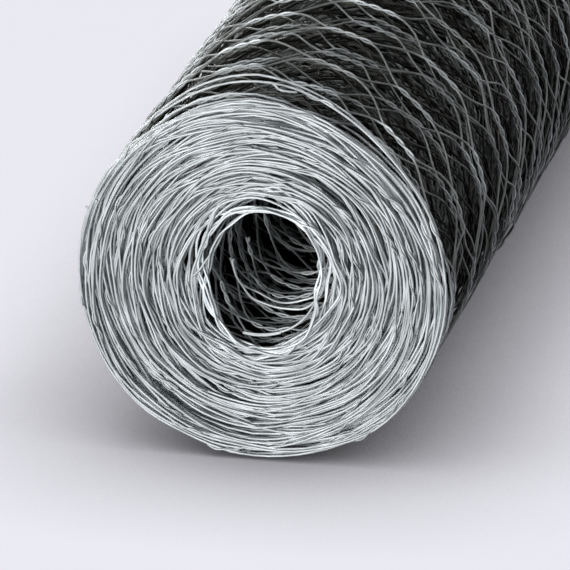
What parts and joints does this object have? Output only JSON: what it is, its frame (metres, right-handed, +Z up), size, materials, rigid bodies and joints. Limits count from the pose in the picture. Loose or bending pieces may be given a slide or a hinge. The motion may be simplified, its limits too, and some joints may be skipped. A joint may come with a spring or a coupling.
{
  "type": "roll of hexagonal wire netting",
  "caption": "Roll of galvanised hexagonal wire netting lying on its side, wound round an open bore, with the edge wires of its turns showing as rings on both ends.",
  "frame": {"origin": "on the floor under the middle of the roll, which lies on its side", "axes": "+Y along the roll's axis, with the end that the picture shows at -Y; +Z up; +X to the right when looking along +Y"},
  "size_m": [0.1699, 0.6, 0.17],
  "materials": {
    "galvanised_wire": "hot-dip galvanised wire, dull bright zinc"
  },
  "bodies": {
    "root": {"wound_netting": "galvanised_wire"}
  },
  "joints": []
}
